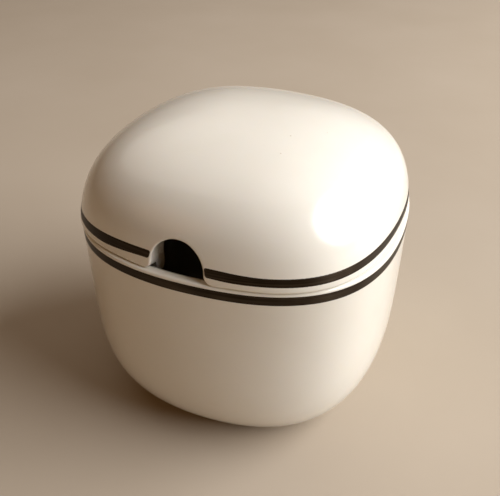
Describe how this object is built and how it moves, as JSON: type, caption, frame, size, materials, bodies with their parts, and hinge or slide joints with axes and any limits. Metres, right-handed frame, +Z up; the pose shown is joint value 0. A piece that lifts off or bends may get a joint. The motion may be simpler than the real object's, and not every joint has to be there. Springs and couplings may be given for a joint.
{
  "type": "sugar bowl",
  "caption": "Lidded sugar bowl with a rounded-square plan, a softly domed lift-off lid with an arched spoon notch, and a dark metallic band on each side of the joint.",
  "frame": {"origin": "centre of the foot, on the surface that the bowl stands on", "axes": "+Z up through the lid's crown; the side with the spoon notch faces -Y, with the lid turned a few degrees in its seat"},
  "size_m": [0.0962, 0.0962, 0.0913],
  "materials": {
    "porcelain": "glossy warm-white glaze",
    "lustre": "dark metallic lustre fired on the glaze"
  },
  "bodies": {
    "bowl": {"bowl": "porcelain", "bowl_band": "lustre"},
    "lid": {"lid": "porcelain", "lid_band": "lustre"}
  },
  "joints": [
    {"name": "lid_lift", "type": "slide", "parent": "bowl", "child": "lid", "axis": [0, 0, 1], "range_m": [0, 0.1]}
  ]
}
